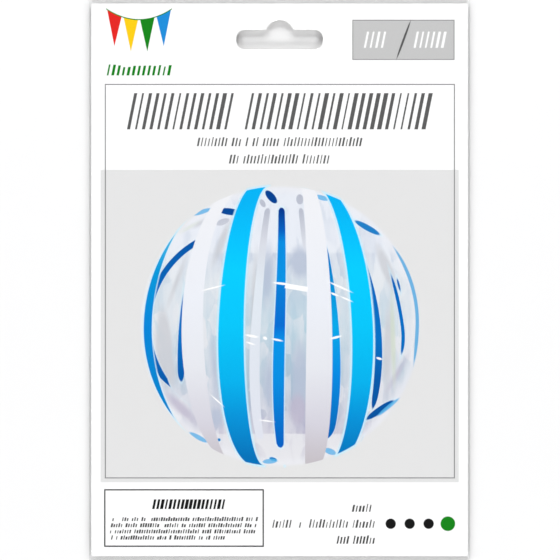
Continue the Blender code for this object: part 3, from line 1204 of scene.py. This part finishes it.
    def surface(self, x: np.ndarray, s: np.ndarray) -> np.ndarray:
        """The strip's surface: x across the bag and s along the strip give a point.

        On a flat run y goes with s and the height is that run's own. On a fold the point turns through half
        a circle between the heights of the runs that it joins. Along the sides every run comes down, or up,
        to the weld.

        Args:
            x: Places across the bag.
            s: Places along the strip.

        Returns:
            One point for each pair, three numbers each.
        """
        top, bottom = np.full_like(x, self.fold_y), np.full_like(x, -self.fold_y)
        flap_y = self.fold_y - (self.ends[Run.FLAP] - s)
        front_y = self.fold_y - (s - self.starts[Run.FRONT])
        back_y = -self.fold_y + (s - self.starts[Run.BACK])
        flap_z = np.full_like(x, self.floor_gap)
        front_z, back_z = self.front_height(x, front_y), self.back_height(x, back_y)
        heights = {
            Run.FLAP: flap_z,
            Run.FRONT: front_z,
            Run.BACK: back_z,
            Run.TOP_FOLD: (flap_z, self.front_height(x, top)),
            Run.BOTTOM_FOLD: (self.front_height(x, bottom), self.back_height(x, bottom)),
        }
        y, z = np.zeros_like(x), np.zeros_like(x)
        land = self.half_width - self.weld_width - self.card_half_width
        beside_card = smooth((np.abs(x) - self.card_half_width) / land)
        for run, run_y, lift in ((Run.FLAP, flap_y, None), (Run.FRONT, front_y, 0.6), (Run.BACK, back_y, -0.6)):
            here = (s >= self.starts[run]) & (s <= self.ends[run])
            y = np.where(here, run_y, y)
            if lift is None:
                z = np.where(here, heights[run], z)
                continue
            welded = beside_card * smooth((self.half_height - np.abs(run_y)) / 0.004)
            z = np.where(here, blend(heights[run], self.weld_height + lift * self.film, welded), z)
        for run, centre, outward in ((Run.TOP_FOLD, top, 1.0), (Run.BOTTOM_FOLD, bottom, -1.0)):
            here = (s > self.starts[run]) & (s < self.ends[run])
            turn = (s - self.starts[run]) / (self.ends[run] - self.starts[run]) * np.pi
            first, last = heights[run]
            y = np.where(here, centre + outward * np.sin(turn) * self.end_height / 2, y)
            z = np.where(here, blend(first, last, (1 - np.cos(turn)) / 2), z)
        on_flap = smooth((self.ends[Run.FLAP] - s) / 0.0035) * smooth(np.abs(x) / self.half_width * 2 - 1)
        return np.stack([x - np.sign(x) * self.flap_inset * on_flap, y, z], axis=1)

    def areas(self, x: np.ndarray, s: np.ndarray) -> np.ndarray:
        """Which stretch of film each place belongs to, as its material's place."""
        area = np.full(x.shape, FilmArea.CLEAR, np.int32)
        area[(s > 0.002) & (s < 0.002 + self.glue_width)] = FilmArea.GLUE
        area[np.abs(x) > self.half_width - self.weld_width] = FilmArea.WELD
        return area

    def build(self) -> bpy.types.Object:
        """Make the bag, dress it and stand it for its node.

        Returns:
            The bag.
        """
        x, s, faces = self.flat_triangles()
        mesh = bpy.data.meshes.new("film_bag")
        mesh.from_pydata(self.surface(x, s).tolist(), [], faces[:, ::-1].tolist())
        centre_x, centre_s = x[faces].mean(axis=1), s[faces].mean(axis=1)
        mesh.polygons.foreach_set("material_index", self.areas(centre_x, centre_s))
        mesh.shade_smooth()
        bag = bpy.data.objects.new("film_bag", mesh)
        bpy.context.scene.collection.objects.link(bag)
        for finish in (CLEAR_FILM, WELDED_FILM, GLUED_FILM):
            mesh.materials.append(finish.material())
        wall = bag.modifiers.new("film_thickness", "SOLIDIFY")
        wall.thickness = self.film
        wall.offset = 0.0
        wall.use_rim = True
        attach(bag, "root")
        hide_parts(self.node)
        LOG.info("%s: %d points, %d triangles, stands for %s", bag.name, len(x), len(mesh.polygons), self.node)
        return bag


CLEAR_FILM = FilmFinish("clear_film", 0.016, 0.05, 0.25)
WELDED_FILM = FilmFinish("welded_film", 0.02, 0.3, 0.5)
GLUED_FILM = FilmFinish("glued_film", 0.03, 0.35, 0.4)


@dataclass
class PrintedCard:
    """The card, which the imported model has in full. Only its finish is new."""

    node: str = "printed_card"

    def dress(self, nodes: dict[str, bpy.types.Object]) -> bpy.types.Object:
        """Give the card its printed finish.

        Args:
            nodes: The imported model's nodes.

        Returns:
            The card.
        """
        card = nodes[self.node]
        low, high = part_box(self.node)
        finish = PrintedCardFinish(card_top=high.z)
        card.data.materials.clear()
        card.data.materials.append(finish.material())
        LOG.info("%s: printed, %.1f by %.1f mm", card.name, *(MILLIMETRES * (high - low))[:2])
        return card


@dataclass(frozen=True)
class SoftBox:
    """A studio light, wide and high, that faces the packet."""

    azimuth: float
    elevation: float
    distance: float
    width: float
    height: float
    power: float

    def build(self, name: str) -> bpy.types.Object:
        """Make the light."""
        light = bpy.data.lights.new(name, "AREA")
        light.shape = "RECTANGLE"
        light.size = self.width
        light.size_y = self.height
        light.energy = self.power
        lamp = bpy.data.objects.new(name, light)
        turn, lift = math.radians(self.azimuth), math.radians(self.elevation)
        away = Vector((math.cos(turn) * math.cos(lift), math.sin(turn) * math.cos(lift), math.sin(lift)))
        lamp.location = away * self.distance
        lamp.rotation_euler = away.to_track_quat("Z", "Y").to_euler()
        lamp.visible_camera = False
        bpy.context.scene.collection.objects.link(lamp)
        return lamp


@dataclass
class Studio:
    """A pale floor, soft lights low round the packet, and a camera straight above it.

    Attributes:
        view_width: How much of the packet's plane the picture shows from side to side.
        view_centre: The point of the packet that is in the middle of the picture.
        camera_height: How far above the floor the camera is.
        sensor: The camera's sensor width in millimetres.
        floor_side: How wide the floor is.
        lamps: The lights.
    """

    view_width: float = 0.20664
    view_centre: tuple[float, float] = (0.00015, -0.00007)
    camera_height: float = 2.5
    sensor: float = 36.0
    floor_side: float = 12.0
    lamps: tuple[SoftBox, ...] = (
        SoftBox(90.0, 17.0, 1.8, 1.8, 0.5, 65.0),
        SoftBox(270.0, 17.0, 1.8, 1.8, 0.5, 58.2),
        SoftBox(180.0, 24.0, 1.8, 1.0, 0.6, 11.6),
        SoftBox(0.0, 24.0, 1.8, 1.0, 0.6, 11.6),
    )

    def build(self, face_height: float) -> None:
        """Make the floor, the lights, the surroundings and the camera.

        Args:
            face_height: How high the card's face is, which is where the picture's width is measured.
        """
        self.make_floor()
        for count, lamp in enumerate(self.lamps, start=1):
            lamp.build(f"soft_box_{count}")
        self.make_surroundings()
        self.make_camera(face_height)
        bpy.context.scene.view_settings.view_transform = "Standard"
        bpy.context.scene.view_settings.look = "None"

    def make_floor(self) -> None:
        """A flat pale floor."""
        half = self.floor_side / 2
        corners = np.array([(-half, -half, 0.0), (half, -half, 0.0), (half, half, 0.0), (-half, half, 0.0)])
        mesh = bpy.data.meshes.new("floor")
        mesh.from_pydata(corners.tolist(), [], [(0, 1, 2, 3)])
        floor = bpy.data.objects.new("floor", mesh)
        bpy.context.scene.collection.objects.link(floor)
        material, graph = new_material("pale_floor")
        cloud = graph.noise(graph.place(), 40.0, 3.0)
        graph.surface({
            "Base Color": graph.mix(cloud, (0.712, 0.712, 0.712, 1.0), (0.722, 0.722, 0.722, 1.0)),
            "Roughness": 0.85,
            "Specular IOR Level": 0.1,
        })
        mesh.materials.append(material)

    def make_surroundings(self) -> None:
        """A pale room that is darker straight overhead, so that the film mirrors little of it to the camera."""
        world = bpy.data.worlds.new("pale_room")
        bpy.context.scene.world = world
        world.use_nodes = True
        graph = Graph(world.node_tree)
        direction = graph.out("ShaderNodeTexCoord", output="Generated")
        up = direction.dot((0.0, 0.0, 1.0))
        stops = [(0.0, (0.40, 0.40, 0.41, 1.0)), (0.5, (0.30, 0.30, 0.31, 1.0)), (0.8, (0.02, 0.02, 0.02, 1.0))]
        sky = graph.out("ShaderNodeBackground", inputs={"Color": graph.ramp(up, stops), "Strength": 1.0})
        graph.node("ShaderNodeOutputWorld", inputs={"Surface": sky})

    def make_camera(self, face_height: float) -> None:
        """A long lens straight above, whose picture is as wide as the view at the card's face."""
        data = bpy.data.cameras.new("camera")
        data.sensor_width = self.sensor
        data.lens = self.sensor * (self.camera_height - face_height) / self.view_width
        data.clip_start = 0.1
        data.clip_end = 20.0
        camera = bpy.data.objects.new("camera", data)
        camera.location = (*self.view_centre, self.camera_height)
        bpy.context.scene.collection.objects.link(camera)
        bpy.context.scene.camera = camera


def corners(box: tuple[Vector, Vector]) -> list[list[float]]:
    """A box's lowest and highest corners as plain lists of numbers."""
    return [[round(value, 6) for value in corner] for corner in box]


def main() -> None:
    """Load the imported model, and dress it."""
    logging.basicConfig(level=logging.INFO, format="%(name)s: %(message)s")
    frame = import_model()
    card = PrintedCard().dress(frame["nodes"])
    FilmBag().build()
    Studio().build(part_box(card.name)[1].z)


if __name__ == "__main__":
    main()
